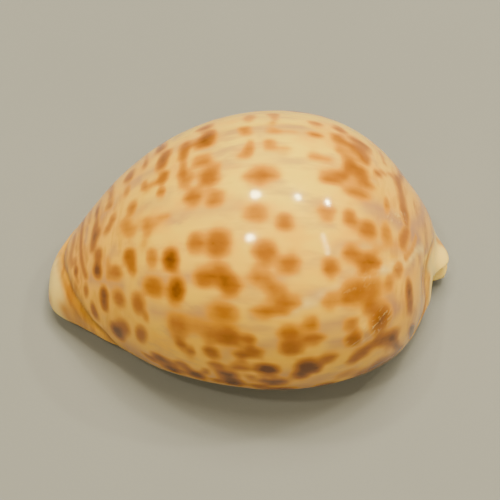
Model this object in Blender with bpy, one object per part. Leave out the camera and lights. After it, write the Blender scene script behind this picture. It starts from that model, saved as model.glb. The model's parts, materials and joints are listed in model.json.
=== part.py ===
"""A cowrie shell, lying on its base with the aperture down, modelled as one hollow solid.

The shell is lofted like a ship's hull. Each section across its length is one closed loop:
out along the base, over the back, in again on the other side, then up through the aperture
and round the inside of the wall. Rows of the loft fall on the crests and furrows of the teeth.

X runs from the front beak (-X) to the rounded rear end (+X), +Y is the outer lip's side, +Z is up.
"""

import bmesh
import bpy
import numpy as np

# All sizes are in millimetres, and become metres as the mesh is made
MILLIMETRE = 0.001

# The shell's lines: place along the length, then the y of the columella side and of the outer
# lip's side, the y of the aperture's middle, and the heights of the crown and of the widest line
LINES = np.array([
    (-45.2,  -7.4,   2.4, -2.4,  7.6,  4.0),
    (-44.0,  -9.2,   4.9, -2.2,  9.6,  4.2),
    (-42.0, -10.9,   7.9, -1.9, 12.4,  4.8),
    (-38.0, -13.4,  12.9, -1.2, 18.4,  6.4),
    (-30.0, -18.7,  20.3,  0.3, 28.9,  9.6),
    (-18.0, -26.3,  27.4,  1.8, 39.8, 13.0),
    (-4.0,  -30.4,  31.4,  2.6, 46.4, 15.0),
    (8.0,   -31.4,  32.2,  2.6, 47.8, 16.0),
    (20.0,  -29.2,  30.4,  2.0, 45.0, 16.0),
    (30.0,  -24.2,  25.4,  0.9, 37.8, 15.0),
    (37.0,  -17.2,  19.0, -0.1, 28.6, 12.4),
    (41.0,  -10.8, 13.0, -0.5, 20.2,  9.6),
    (43.0,   -6.4,  8.4, -0.2, 12.0,  5.6),
])
FRONT, REAR = LINES[0, 0], LINES[-1, 0]
END_ROUND = 0.5                # the lines would close this far past the first and last row
MIDDLE_X = (FRONT + REAR) / 2
HALF_LENGTH = (REAR - FRONT) / 2 + END_ROUND

BACK_FULLNESS = 2.15           # superellipse power of the back, 2 is round
LIP_SIDE_FLATNESS = 3.0        # superellipse power under the outer lip
COLUMELLA_SIDE_FLATNESS = 2.6
BASE_SINK = 0.5                # how much of the curved base is worn flat to lie on
VALLEY_DEPTH = 1.5             # the base dips towards the aperture
VALLEY_WIDTH = 5.0

# The aperture, and the hollow that it opens into
APERTURE_HALF_GAP = 3.3
CANAL_HALF_GAP = 2.7           # at both ends, where the aperture runs out as a canal
LIP_ROUND = 1.7
LIP_HEIGHT = 7.6
BACK_WALL = 2.1
SIDE_WALL = 3.2
CANAL_ROOF = 5.6
RIM_WALL = 2.4                 # wall round the canals' mouths
RIM_ROUND = 1.6
RIM_DRAWN_IN = 0.92            # share of the rim's rounding that is made, so its end stays blunt
END_TAPER = 9.0                # length over which the hollow narrows and the teeth fade
FLOOR_SHARE = 0.45             # the hollow's floor, and its widest line, as shares of its height
THROAT_EASE = 0.5              # how much wider than the gap the throat opens,
HOLLOW_EASE = 0.1              # and the hollow at its narrowest is than the throat

# The teeth, a crest on one row of the loft and a furrow on the next
TOOTH_PITCH = 3.0
TOOTH_RELIEF = 0.55
TOOTHED_FROM = -38.0
TOOTH_COUNT = 25
END_ROWS = 8

# The rear end: the outer lip's spur, the lesser lobe beside the canal, and the sunk spire
SPUR_REACH = 3.5
SPUR_TIP_Y = 4.4
SPUR_EDGE_Y = -0.4             # where the spur ends at the canal
SPUR_FLANK_Y = 14.0            # and where it runs out on the other side
SPUR_TOP = 12.0
SPUR_LIFT = 1.8                # the rear end's underside is this far off the ground
LOBE_REACH = 0.3
REAR_SKEW = 0.16               # the rear end runs further back on the outer lip's side
SKEW_MIDDLE_Y = 3.0
SKEW_HALF_WIDTH = 10.0
LOBE_MIDDLE_Y = -4.4
LOBE_HALF_WIDTH = 4.4
END_FORMS_FROM = 34.0
SPUR_LIFTED_FROM = 38.0
SPIRE_PIT = (41.0, -3.6, 17.0)
SPIRE_PIT_RADIUS = 4.2
SPIRE_PIT_DEPTH = 1.6

# Divisions of a section: the outer path, and the inner path made of the same number
OUTER_DIVISIONS = 36
ROUND_DIVISIONS = 3
THROAT_DIVISIONS = 3
LIP_CROWDING = 0.55            # 0 spaces the outer path evenly, 1 crowds it at the lips
LOOP_POINTS = 2 * OUTER_DIVISIONS
ARCH_SAMPLES = 600

# How strongly a tooth stands out at each point of the loop, counted from the lip's edge: out along
# the base (positive) and up into the throat (negative)
TOOTH_STRENGTH = {2: 0.15, 1: 0.5, 0: 0.8, -1: 1.0, -2: 1.0, -3: 0.9, -4: 0.6, -5: 0.25}

SHELL_COLOUR = (0.86, 0.62, 0.33, 1.0)
SHELL_ROUGHNESS = 0.15


def fair_curve(stations, values, at):
    """A smooth curve through values at stations, read at the places in at."""
    step = np.diff(stations)
    slope = np.diff(values) / step
    middle = (slope[:-1] * step[1:] + slope[1:] * step[:-1]) / (step[1:] + step[:-1])
    tangent = np.concatenate([slope[:1], middle, slope[-1:]])
    k = np.clip(np.searchsorted(stations, at) - 1, 0, len(step) - 1)
    t = (at - stations[k]) / step[k]
    start = (2 * t**3 - 3 * t**2 + 1) * values[k] + (t**3 - 2 * t**2 + t) * step[k] * tangent[k]
    end = (3 * t**2 - 2 * t**3) * values[k + 1] + (t**3 - t**2) * step[k] * tangent[k + 1]
    return start + end


def ease(value, low, high):
    """0 below low, 1 above high, smooth between them."""
    t = np.clip((value - low) / (high - low), 0.0, 1.0)
    return t * t * (3 - 2 * t)


def bump(value, middle, half_width):
    """1 in the middle, falling smoothly to 0 half_width away."""
    return 1.0 - ease(np.abs(value - middle), 0.0, half_width)


def turn(x):
    """The place x along the shell as an angle, which opens out the lines at the blunt ends."""
    return np.arccos((MIDDLE_X - x) / HALF_LENGTH)


def row_places():
    """Where the rows lie along the shell: evenly over the teeth, by angle towards the ends."""
    toothed = TOOTHED_FROM + TOOTH_PITCH / 2 * np.arange(2 * TOOTH_COUNT + 1)
    front_angles = np.linspace(turn(FRONT), turn(toothed[0]), END_ROWS + 1)[:-1]
    rear_angles = np.linspace(turn(toothed[-1]), turn(REAR), END_ROWS + 1)[1:]
    front_rows = MIDDLE_X - HALF_LENGTH * np.cos(front_angles)
    rear_rows = MIDDLE_X - HALF_LENGTH * np.cos(rear_angles)
    return np.concatenate([front_rows, toothed, rear_rows])


def arch(start, end, columella_side, lip_side, top, middle, bottom, powers):
    """Points (y, z) round an egg-shaped section, from the angle start to the angle end."""
    angle = np.linspace(start, end, ARCH_SAMPLES)
    across, up = np.cos(angle), np.sin(angle)
    side = np.where(across >= 0, lip_side, columella_side)
    back, lip_power, columella_power = powers
    power = np.where(up >= 0, back, np.where(across >= 0, lip_power, columella_power))
    y = side * np.sign(across) * np.abs(across) ** (2 / power)
    reach = np.where(up >= 0, top - middle, middle - bottom)
    z = middle + reach * np.sign(up) * np.abs(up) ** (2 / power)
    return y, z


def opening_angle(gap, side, power):
    """The angle below the horizontal at which a section comes within gap of the middle."""
    return np.arccos((gap / side) ** (power / 2))


def spaced(y, z, divisions, crowding=0.0):
    """The same path in a set number of divisions, closer at its two ends as crowding grows."""
    length = np.concatenate([[0.0], np.cumsum(np.hypot(np.diff(y), np.diff(z)))])
    s = np.linspace(0.0, 1.0, divisions + 1)
    s = (s - crowding * np.sin(2 * np.pi * s) / (2 * np.pi)) * length[-1]
    return np.column_stack([np.interp(s, length, y), np.interp(s, length, z)])


def lip_path(side, gap, outer_end, room_end):
    """From the base round a lip's edge and up the throat. side is -1 at the columella lip."""
    quarter = np.linspace(0, np.pi / 2, ROUND_DIVISIONS + 1)[1:]
    rounding = np.column_stack([
        side * (gap + LIP_ROUND * (1 - np.sin(quarter))),
        outer_end[1] + LIP_ROUND * (1 - np.cos(quarter)),
    ])
    share = np.linspace(0, 1, THROAT_DIVISIONS + 1)[1:, None]
    return np.concatenate([rounding, rounding[-1] + (room_end - rounding[-1]) * share])


def shell_section(line, end_share):
    """One closed loop (y, z). end_share is 0 along the body and 1 at the canals' mouths."""
    _, columella_y, lip_y, middle_y, crown, widest = line
    columella_side, lip_side = middle_y - columella_y, lip_y - middle_y
    gap = APERTURE_HALF_GAP + (CANAL_HALF_GAP - APERTURE_HALF_GAP) * end_share
    edge = gap + LIP_ROUND

    # Out from the outer lip, over the back, and in to the columella lip
    powers = (BACK_FULLNESS, LIP_SIDE_FLATNESS, COLUMELLA_SIDE_FLATNESS)
    start = -opening_angle(edge, lip_side, LIP_SIDE_FLATNESS)
    end = np.pi + opening_angle(edge, columella_side, COLUMELLA_SIDE_FLATNESS)
    y, z = arch(start, end, columella_side, lip_side, crown, widest, -BASE_SINK, powers)
    low = 1.0 - ease(z, 0.0, widest)
    z = z + VALLEY_DEPTH * np.exp(-((y / VALLEY_WIDTH) ** 2)) * low
    outer = spaced(y, z, OUTER_DIVISIONS, LIP_CROWDING)

    # The hollow, which narrows to the canal's roof at both ends
    back_wall = BACK_WALL + (RIM_WALL - BACK_WALL) * end_share
    side_wall = SIDE_WALL + (RIM_WALL - SIDE_WALL) * end_share
    roof = min(crown - back_wall, crown + (CANAL_ROOF - crown) * end_share)
    floor = min(LIP_HEIGHT, FLOOR_SHARE * roof)
    widest_inside = floor + FLOOR_SHARE * (roof - floor)
    throat = gap + THROAT_EASE
    narrowest = throat + HOLLOW_EASE
    columella_inside = max(columella_side - side_wall, narrowest)
    lip_inside = max(lip_side - side_wall, narrowest)
    start = -opening_angle(throat, lip_inside, LIP_SIDE_FLATNESS)
    end = np.pi + opening_angle(throat, columella_inside, COLUMELLA_SIDE_FLATNESS)
    y, z = arch(end, start, columella_inside, lip_inside, roof, widest_inside, floor, powers)
    room_divisions = OUTER_DIVISIONS - 2 * (ROUND_DIVISIONS + THROAT_DIVISIONS)
    room = spaced(y, z, room_divisions)

    # Up over the columella lip, round the hollow, and down over the outer lip
    columella_lip = lip_path(-1, gap, outer[-1], room[0])
    outer_lip = lip_path(1, gap, outer[0], room[-1])
    loop = np.concatenate([outer, columella_lip, room[1:], outer_lip[-2::-1]])
    loop[:, 0] += middle_y
    return loop


def tooth_weights():
    """Each point's share in the teeth: positive on the outer lip, negative on the columella's."""
    weights = np.zeros(LOOP_POINTS)
    for step, strength in TOOTH_STRENGTH.items():
        weights[step % LOOP_POINTS] = strength
        weights[(OUTER_DIVISIONS - step) % LOOP_POINTS] = -strength
    return weights


def outward(loop):
    """The direction out of the wall at each point of a section's loop."""
    along = np.roll(loop, -1, axis=0) - np.roll(loop, 1, axis=0)
    normal = np.column_stack([along[:, 1], -along[:, 0]])
    return normal / np.linalg.norm(normal, axis=1)[:, None]


def round_rim(loop, past):
    """Draws the outer and inner paths together as the wall ends, so that its rim is round."""
    share = np.sqrt(1.0 - min(past / RIM_ROUND, RIM_DRAWN_IN) ** 2)
    across_the_wall = loop[-np.arange(LOOP_POINTS)]
    middle = (loop + across_the_wall) / 2
    return middle + (loop - middle) * share


def shape_ends(points):
    """Draws out the lips at the rear end and sinks the spire."""
    x, y, z = points.T
    rear = ease(x, END_FORMS_FROM, REAR)
    low = 1.0 - ease(z, SPUR_TOP / 2, SPUR_TOP)
    flank = 1.0 - ease(y, SPUR_TIP_Y, SPUR_FLANK_Y)
    spur = SPUR_REACH * ease(y, SPUR_EDGE_Y, SPUR_TIP_Y) * flank
    lobe = LOBE_REACH * bump(y, LOBE_MIDDLE_Y, LOBE_HALF_WIDTH)
    skew = REAR_SKEW * np.clip(y - SKEW_MIDDLE_Y, -SKEW_HALF_WIDTH, SKEW_HALF_WIDTH)
    lift = SPUR_LIFT * ease(x, SPUR_LIFTED_FROM, REAR) * low
    moved = np.column_stack([x + rear * (low * (spur + lobe) + skew), y, z + lift])
    distance = np.linalg.norm(points - np.array(SPIRE_PIT), axis=1)
    moved[:, 0] -= SPIRE_PIT_DEPTH * np.exp(-((distance / SPIRE_PIT_RADIUS) ** 2))
    return moved


def shell_rows():
    """Every row of the loft, each a loop of points (x, y, z)."""
    places = row_places()
    stations = turn(LINES[:, 0])
    lines = np.column_stack([fair_curve(stations, column, turn(places)) for column in LINES.T])
    weights = tooth_weights()
    rows = []
    for k, (x, line) in enumerate(zip(places, lines)):
        from_end = min(x - FRONT, REAR - x)
        end_share = 1.0 - ease(from_end, 0.0, END_TAPER)
        loop = shell_section(line, end_share)
        height = TOOTH_RELIEF * ease(from_end, RIM_ROUND, END_TAPER)
        relief = weights * (height if k % 2 else -height)
        loop = loop + outward(loop) * relief[:, None]
        loop = round_rim(loop, max(0.0, RIM_ROUND - from_end))
        loop[:, 1] = np.maximum(loop[:, 1], 0.0)
        rows.append(shape_ends(np.column_stack([np.full(len(loop), x), loop])))
    return rows


def close_end(model, ring):
    """Bridges the outer and the inner path of an end's ring, which meet at both lips."""
    outer = ring[:OUTER_DIVISIONS + 1]
    inner = [ring[-j] for j in range(OUTER_DIVISIONS + 1)]
    model.faces.new((outer[0], outer[1], inner[1]))
    for j in range(1, OUTER_DIVISIONS - 1):
        model.faces.new((outer[j], outer[j + 1], inner[j + 1], inner[j]))
    model.faces.new((outer[-2], outer[-1], inner[-2]))


def shell_mesh():
    """The loft's closed mesh, centred over the origin with its base on z = 0."""
    rows = shell_rows()
    corners = np.concatenate(rows)
    low, high = corners.min(axis=0), corners.max(axis=0)
    origin = np.array([(low[0] + high[0]) / 2, (low[1] + high[1]) / 2, low[2]])
    model = bmesh.new()
    rings = [[model.verts.new((point - origin) * MILLIMETRE) for point in row] for row in rows]
    for ring, following in zip(rings, rings[1:]):
        for j in range(LOOP_POINTS):
            after = (j + 1) % LOOP_POINTS
            model.faces.new((ring[j], ring[after], following[after], following[j]))
    close_end(model, rings[0])
    close_end(model, rings[-1])
    bmesh.ops.recalc_face_normals(model, faces=model.faces)
    bmesh.ops.triangulate(model, faces=model.faces)
    mesh = bpy.data.meshes.new("shell")
    model.to_mesh(mesh)
    model.free()
    return mesh


def shell_material():
    material = bpy.data.materials.new("polished shell")
    material.use_nodes = True
    surface = material.node_tree.nodes["Principled BSDF"]
    surface.inputs["Base Color"].default_value = SHELL_COLOUR
    surface.inputs["Roughness"].default_value = SHELL_ROUGHNESS
    surface.inputs["Metallic"].default_value = 0.0
    return material


for old in list(bpy.data.objects):
    bpy.data.objects.remove(old)

mesh = shell_mesh()
mesh.materials.append(shell_material())
mesh.shade_smooth()
shell = bpy.data.objects.new("shell", mesh)
bpy.context.scene.collection.objects.link(shell)
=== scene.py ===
"""The looks of a spotted cowrie shell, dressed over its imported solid, and a plain stage to show it on.

Places on the shell are given the way it is looked at: millimetres along it from the middle, with the
front beak at the minus end, and degrees round it from the crown, minus towards the outer lip's side.
"""

import json
import math
import random

import bpy
import numpy as np
from bpy.props import FloatProperty, FloatVectorProperty, PointerProperty
from bpy.types import Operator, Panel, PropertyGroup
from mathutils import Matrix, Vector, noise
from mathutils.bvhtree import BVHTree

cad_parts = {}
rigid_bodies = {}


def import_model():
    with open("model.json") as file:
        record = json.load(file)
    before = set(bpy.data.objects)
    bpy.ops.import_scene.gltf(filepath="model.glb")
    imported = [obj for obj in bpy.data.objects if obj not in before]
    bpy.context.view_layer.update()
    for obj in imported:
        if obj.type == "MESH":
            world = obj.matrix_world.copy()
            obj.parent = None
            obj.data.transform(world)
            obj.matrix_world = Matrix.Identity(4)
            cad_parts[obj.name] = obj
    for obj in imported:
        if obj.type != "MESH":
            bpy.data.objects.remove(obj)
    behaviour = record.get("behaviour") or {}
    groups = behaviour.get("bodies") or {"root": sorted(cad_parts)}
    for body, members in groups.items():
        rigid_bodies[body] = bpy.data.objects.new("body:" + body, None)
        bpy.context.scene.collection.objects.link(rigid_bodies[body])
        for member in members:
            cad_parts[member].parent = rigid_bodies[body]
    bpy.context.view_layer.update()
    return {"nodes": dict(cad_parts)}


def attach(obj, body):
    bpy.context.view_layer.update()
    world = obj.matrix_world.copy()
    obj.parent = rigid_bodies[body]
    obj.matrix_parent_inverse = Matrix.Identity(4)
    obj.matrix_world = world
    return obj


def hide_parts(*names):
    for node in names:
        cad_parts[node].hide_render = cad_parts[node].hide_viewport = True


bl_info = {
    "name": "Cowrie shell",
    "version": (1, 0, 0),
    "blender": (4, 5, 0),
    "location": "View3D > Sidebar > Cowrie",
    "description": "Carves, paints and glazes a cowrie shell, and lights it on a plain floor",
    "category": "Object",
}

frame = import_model()

MM = 0.001
NODE = "shell"
PIECE = "cowrie_shell"

# The line inside the shell that the degrees are counted round: its height in the middle and at
# the ends, and how far along the ends are
AXIS_MIDDLE_HEIGHT = 16.0
AXIS_END_HEIGHT = 5.0
AXIS_REACH = 46.0
CLEAR_OF_THE_SHELL = 80.0      # a distance from that line at which no part of the shell lies

# What counts as outside: how squarely the surface faces out, and where the sunk spire lies
FACING_OUT = (0.3, 0.6)
SPIRE_ALONG = (35.5, 36.5)
SPIRE_HEIGHT = (12.5, 14.5)

# How unevenly the edges of what is painted run, as (size, amount), and the size of the surface's waves
WANDERS = [(5.0, 0.5), (1.7, 0.14)]
WAVE_LENGTH = 10.0

# The slit between the lips, as places along and the y of its middle
SLIT = [
    (-46.0, -2.8), (-39.0, -1.6), (-31.0, -0.1), (-19.0, 1.4),
    (0.0, 2.2), (19.0, 1.6), (29.0, 0.5), (44.0, -0.6),
]
SLIT_HALF_GAP = 3.3
FIRST_OUTER_TOOTH = -37.3
FIRST_COLUMELLA_TOOTH = -38.8
TEETH_END = (-41.0, 38.5)
TEETH_FADE = 3.0
TOOTH_ON_BASE = 4.6            # how far a tooth runs out over the base, and up into the throat
TOOTH_IN_THROAT = 8.0

# Where the glaze of the back ends against the callus, as (round, along)
FRONT_CREASE = [
    (-112, -30.0), (-98, -34.0), (-84, -38.0), (-66, -41.2), (-40, -43.0), (-10, -43.2), (14, -43.0),
    (30, -42.3), (46, -41.0), (61, -39.3), (72, -37.0), (82, -35.0), (92, -32.0), (104, -29.5), (116, -27.5),
]
REAR_CREASE = [
    (-112, 36.0), (-95, 38.0), (-75, 40.4), (-50, 41.6), (-40, 41.6), (-30, 41.4), (-20, 41.0),
    (-10, 40.4), (0, 39.8), (10, 39.4), (33, 39.4), (58, 40.0), (70, 40.0), (80, 39.4), (92, 37.5),
    (104, 34.5), (116, 31.0),
]
CREASE_FADE = (96, 112)        # the degrees over which the creases die out towards the base

# Places along the palest part of the front beak
BEAK_TIP = [(-45.6, 30), (-45.0, 52), (-43.8, 68), (-43.0, 82), (-43.0, 100)]
BEAK_TIP_WIDTH = 3.6

# The middle of the warmer, brighter colour at the crown, partly its own colour and partly painted light from
# above, as a place, and how far it reaches
CROWN = (2.0, -8.0)
CROWN_REACH = 17.0

# How far from the middle the ends begin and are full, for the callus inside and for the deeper ground
INNER_ENDS = (34.0, 39.0)
DEEPER_ENDS = (21.0, 39.0)

# Heights, as minus values, over which the colours of the sides, of the low sides (darker tan, partly pigment
# and partly painted shade) and of the base come in
SIDE_HEIGHTS = (-40.0, -14.0)
LOW_TAN_AND_SHADE_HEIGHTS = (-16.0, -3.0)
BASE_HEIGHTS = (-12.0, -3.0)
FACING_DOWN = (0.25, 0.85)

# Spots: along, round, half length, half width, turned by, depth of colour
SPOTS = [
    # Front, beyond the crown
    (-27.5, -31.5, 1.2, 2.0, 0, 0.60), (-19.3, -27.5, 1.3, 1.5, 0, 0.65), (-19.9, -21.5, 1.3, 1.8, 0, 0.65),
    (-20.4, -38.0, 1.2, 2.2, 0, 0.42), (-23.8, -31.0, 0.9, 1.6, 0, 0.30), (-34.7, -23.0, 0.5, 1.4, 0, 0.55),
    (-31.3, -16.0, 1.0, 1.3, 0, 0.38), (-27.6, -17.0, 0.8, 1.5, 0, 0.40), (-19.2, -11.5, 1.2, 1.4, 0, 0.60),
    (-22.0, -9.5, 2.0, 0.8, 0, 0.40), (-23.6, -13.0, 0.9, 1.2, -20, 0.36), (-19.3, -3.0, 0.9, 1.3, 0, 0.50),
    (-34.5, -1.0, 1.2, 2.4, 0, 0.42), (-26.0, -1.0, 1.2, 1.5, 0, 0.46),
    # Front, on the near side
    (-34.8, 11.0, 1.1, 2.2, 0, 0.46), (-33.2, 24.5, 1.2, 1.5, 0, 0.66), (-33.4, 36.0, 1.2, 1.6, 0, 0.85),
    (-30.3, 0.0, 1.1, 1.3, 0, 0.50), (-31.4, 6.5, 1.1, 1.2, 0, 0.46), (-33.6, 4.0, 0.9, 1.3, 0, 0.42),
    (-27.3, 8.5, 1.4, 1.5, 0, 0.34), (-26.0, 14.0, 1.5, 1.5, 0, 0.34), (-25.7, 29.0, 1.4, 1.6, 0, 0.66),
    (-25.0, 36.0, 1.1, 1.3, 0, 0.50), (-28.7, 38.0, 1.6, 1.5, 0, 0.55), (-20.6, 30.5, 1.1, 1.7, 0, 0.46),
    (-16.6, 31.7, 1.5, 2.0, -20, 0.86), (-18.3, 12.0, 1.4, 0.9, -10, 0.32), (-21.2, 13.5, 1.6, 1.5, 0, 0.30),
    (-23.3, 11.5, 1.7, 0.9, 0, 0.20), (-38.7, 35.0, 0.7, 1.0, 0, 0.60), (-36.2, 54.0, 0.8, 1.5, 0, 0.55),
    (-31.7, 54.0, 1.1, 1.9, 0, 0.80), (-31.5, 62.0, 0.9, 1.3, 0, 0.60), (-28.0, 54.0, 1.5, 1.9, 0, 0.55),
    (-23.4, 54.5, 1.5, 2.3, 0, 0.56), (-20.1, 44.5, 2.0, 1.9, 0, 0.60), (-34.0, 70.0, 0.8, 1.9, -15, 0.66),
    (-28.8, 81.0, 1.6, 2.2, 0, 0.86), (-27.4, 74.0, 1.5, 2.2, 30, 0.60), (-22.8, 73.5, 1.2, 2.2, 15, 0.60),
    (-19.0, 87.0, 1.5, 1.4, 0, 0.80), (-21.2, 90.5, 1.7, 0.9, 0, 0.70), (-21.6, 61.0, 0.7, 1.2, 0, 0.35),
    # Middle, beyond the crown
    (-11.0, -38.5, 1.5, 1.3, 0, 0.55), (-12.0, -26.3, 1.5, 1.5, 0, 0.55), (-10.0, -28.0, 1.3, 1.7, 0, 0.65),
    (-10.0, -23.0, 1.7, 1.2, 0, 0.65), (-15.1, -27.0, 1.2, 1.8, 0, 0.55), (-15.2, -20.7, 1.1, 1.6, 0, 0.50),
    (-15.0, -14.0, 0.8, 2.0, 0, 0.30), (-11.0, -13.3, 1.9, 1.3, 8, 0.48), (-15.2, -9.5, 1.0, 1.2, 0, 0.40),
    (-14.0, -5.2, 1.3, 1.8, 0, 0.46), (-9.1, -3.0, 1.7, 2.1, 0, 0.62), (-1.9, -26.6, 1.2, 1.3, 0, 0.48),
    (-1.3, -22.8, 1.2, 0.8, 0, 0.25), (-1.2, -37.5, 1.1, 2.2, 0, 0.34), (3.8, -39.5, 1.1, 1.3, 0, 0.38),
    (4.2, -35.0, 0.8, 1.0, 0, 0.32), (3.5, -29.0, 0.9, 0.9, 0, 0.34), (3.9, -24.6, 1.3, 0.9, 0, 0.34),
    (7.2, -24.5, 1.8, 0.8, 0, 0.22), (-1.0, -15.3, 0.9, 1.4, 0, 0.42), (-2.0, -12.8, 1.2, 0.9, 0, 0.42),
    (3.4, -16.5, 1.1, 1.5, -25, 0.38), (6.3, -13.3, 1.5, 1.3, 0, 0.22), (13.2, -33.0, 1.2, 1.1, 0, 0.48),
    (12.7, -24.2, 1.3, 1.0, 0, 0.52), (12.7, -12.2, 1.2, 1.0, 0, 0.44), (15.2, -12.2, 1.3, 0.8, 0, 0.36),
    (0.6, -1.7, 1.9, 1.7, 0, 0.44), (3.2, -1.8, 1.9, 1.6, 0, 0.40),
    # Middle, on the near side
    (-12.4, 4.7, 1.6, 1.6, 0, 0.58), (-7.7, 7.5, 1.7, 1.6, 0, 0.52), (0.9, 14.0, 2.0, 1.8, 0, 0.44),
    (6.9, 17.4, 1.6, 1.5, 0, 0.56), (-11.5, 25.5, 1.4, 1.7, 0, 0.60), (-6.8, 25.8, 2.2, 2.5, 10, 0.66),
    (3.1, 28.8, 1.8, 2.0, 0, 0.62), (7.9, 32.5, 1.7, 1.8, -20, 0.60), (-9.4, 39.8, 1.7, 1.7, 0, 0.62),
    (-6.3, 37.8, 1.9, 1.7, 0, 0.62), (-4.0, 41.8, 1.8, 1.8, 0, 0.66), (2.3, 38.6, 2.2, 1.7, 0, 0.50),
    (5.7, 43.3, 1.8, 1.5, 0, 0.48), (8.6, 46.8, 2.0, 1.3, -25, 0.46), (5.4, 49.7, 2.2, 1.4, -15, 0.44),
    (2.6, 51.5, 1.8, 1.4, 0, 0.36), (-5.0, 53.0, 2.4, 1.9, 0, 0.50), (15.5, 11.5, 1.7, 1.7, 0, 0.44),
    (12.9, 54.8, 1.4, 1.4, 0, 0.50), (-15.2, 45.0, 1.5, 2.5, 10, 0.80), (-14.6, 63.5, 1.6, 2.6, 0, 0.30),
    (-3.6, 64.6, 1.7, 1.8, 0, 0.40), (0.3, 63.8, 1.1, 1.4, 0, 0.55), (1.2, 70.0, 1.9, 1.4, -15, 0.64),
    (-1.6, 72.5, 1.2, 1.1, 0, 0.58), (-7.4, 73.2, 1.4, 1.5, 0, 0.68), (-14.0, 72.0, 1.0, 1.2, 0, 0.48),
    (-11.8, 74.5, 0.8, 1.2, 0, 0.48), (8.8, 59.5, 1.8, 1.7, 0, 0.60), (9.3, 66.3, 1.8, 1.7, 0, 0.68),
    (13.4, 61.4, 1.9, 1.4, 0, 0.60),
    # Middle, low on the near side
    (4.3, 79.3, 1.9, 1.7, 0, 0.98), (-1.4, 80.0, 1.8, 1.4, 0, 0.60), (-6.3, 81.3, 1.4, 1.4, 0, 0.58),
    (-3.9, 87.0, 1.8, 1.6, 0, 0.86), (6.2, 88.0, 2.1, 1.7, 0, 0.86), (1.0, 86.5, 1.0, 1.0, 0, 0.50),
    (3.5, 87.0, 0.9, 0.9, 0, 0.60), (-8.8, 87.5, 0.9, 1.0, 0, 0.50), (-14.0, 87.0, 1.3, 1.2, 0, 0.62),
    (-16.8, 88.0, 1.2, 0.9, 0, 0.50), (-11.1, 93.0, 1.9, 1.9, 0, 0.88), (-3.1, 93.5, 2.0, 1.8, 0, 0.92),
    (-6.6, 94.5, 0.9, 1.0, 0, 0.50), (2.5, 93.5, 1.6, 1.4, 0, 0.60), (-16.3, 94.0, 1.8, 1.7, 0, 0.84),
    (12.7, 76.5, 1.8, 2.1, 0, 0.92), (11.3, 82.6, 1.4, 1.6, 0, 0.78), (14.5, 78.5, 1.2, 1.4, 0, 0.60),
    # The spot at 7 mm, 97 degrees is painted shadow low on the near side
    (17.0, 95.0, 2.0, 1.5, 0, 0.60), (7.0, 97.0, 2.8, 1.6, 0, 0.80),
    # Rear, beyond the crown
    (18.4, -34.2, 1.3, 1.4, 0, 0.60), (22.2, -30.3, 1.6, 1.4, 0, 0.60), (24.2, -29.5, 1.3, 1.4, 0, 0.50),
    (18.0, -26.2, 1.6, 1.4, 0, 0.55), (21.4, -23.8, 1.6, 1.5, 0, 0.58), (23.7, -21.5, 1.4, 1.9, 0, 0.55),
    (18.2, -20.2, 1.3, 1.0, 0, 0.40), (22.4, -11.8, 1.8, 1.3, 0, 0.62), (20.2, -13.5, 1.1, 1.8, 0, 0.40),
    (26.7, -15.3, 1.3, 0.8, -30, 0.38), (18.0, -4.4, 1.7, 1.1, -15, 0.46), (15.6, -3.0, 1.4, 0.8, -10, 0.36),
    (24.0, -6.0, 2.0, 1.2, 0, 0.38), (31.4, -21.5, 1.4, 1.5, 0, 0.40), (32.4, -13.0, 1.4, 2.4, 0, 0.34),
    (33.0, -3.5, 1.4, 1.9, 0, 0.56),
    # Rear, on the near side
    (21.9, 0.0, 2.4, 1.4, 0, 0.52), (28.5, -0.5, 0.8, 1.7, 0, 0.44), (20.3, 12.5, 1.2, 1.7, 0, 0.55),
    (24.0, 15.0, 1.9, 1.9, 0, 0.62), (28.3, 13.0, 1.3, 1.7, 0, 0.42), (33.2, 7.0, 1.1, 1.8, 0, 0.50),
    (32.3, 12.5, 1.1, 1.9, 0, 0.48), (20.8, 26.0, 1.5, 1.7, 0, 0.58), (24.4, 26.5, 1.9, 1.2, 0, 0.55),
    (23.8, 30.0, 1.7, 1.2, 0, 0.65), (26.3, 28.5, 1.1, 1.1, 0, 0.46), (16.5, 32.2, 1.6, 1.6, 0, 0.62),
    (31.2, 29.0, 1.2, 1.7, 30, 0.48), (29.3, 36.5, 1.1, 1.6, 0, 0.44), (33.9, 38.5, 1.1, 2.2, 0, 0.76),
    (34.5, 47.0, 1.2, 2.2, 0, 0.50), (16.4, 45.0, 1.5, 1.9, 0, 0.38), (21.0, 41.0, 2.2, 2.5, 0, 0.42),
    (24.8, 41.0, 2.5, 2.8, 0, 0.42), (25.2, 47.5, 1.4, 1.5, 0, 0.42), (19.8, 43.8, 1.1, 1.0, 0, 0.26),
    (27.9, 52.5, 2.0, 2.8, 0, 0.74), (21.3, 54.6, 1.3, 1.1, 0, 0.55), (22.0, 61.8, 1.6, 1.6, 0, 0.70),
    (30.4, 65.2, 1.9, 1.8, 0, 0.66), (27.9, 65.0, 1.3, 1.7, 0, 0.58), (24.2, 70.6, 1.8, 1.9, 0, 0.66),
    (25.9, 66.7, 1.2, 1.2, -30, 0.36), (22.3, 75.3, 1.2, 1.3, 0, 0.50), (16.8, 72.0, 1.5, 1.4, 0, 0.62),
    # The spot at 28.5 mm, 87 degrees is painted shadow low on the rear side
    (35.9, 73.0, 0.9, 3.0, -15, 0.84), (32.4, 74.0, 0.7, 2.6, -10, 0.50), (28.5, 87.0, 1.5, 2.2, 0, 0.50),
    (21.3, 86.0, 1.8, 1.5, 0, 0.36),
]

# How far out a spot keeps its depth, ends, and hazes the ground, counted in its half sizes
SPOT_CORE = 0.3
SPOT_EDGE = 1.92
HAZE_REACH = 1.9
SPOT_LENGTHENING = 1.2

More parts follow.
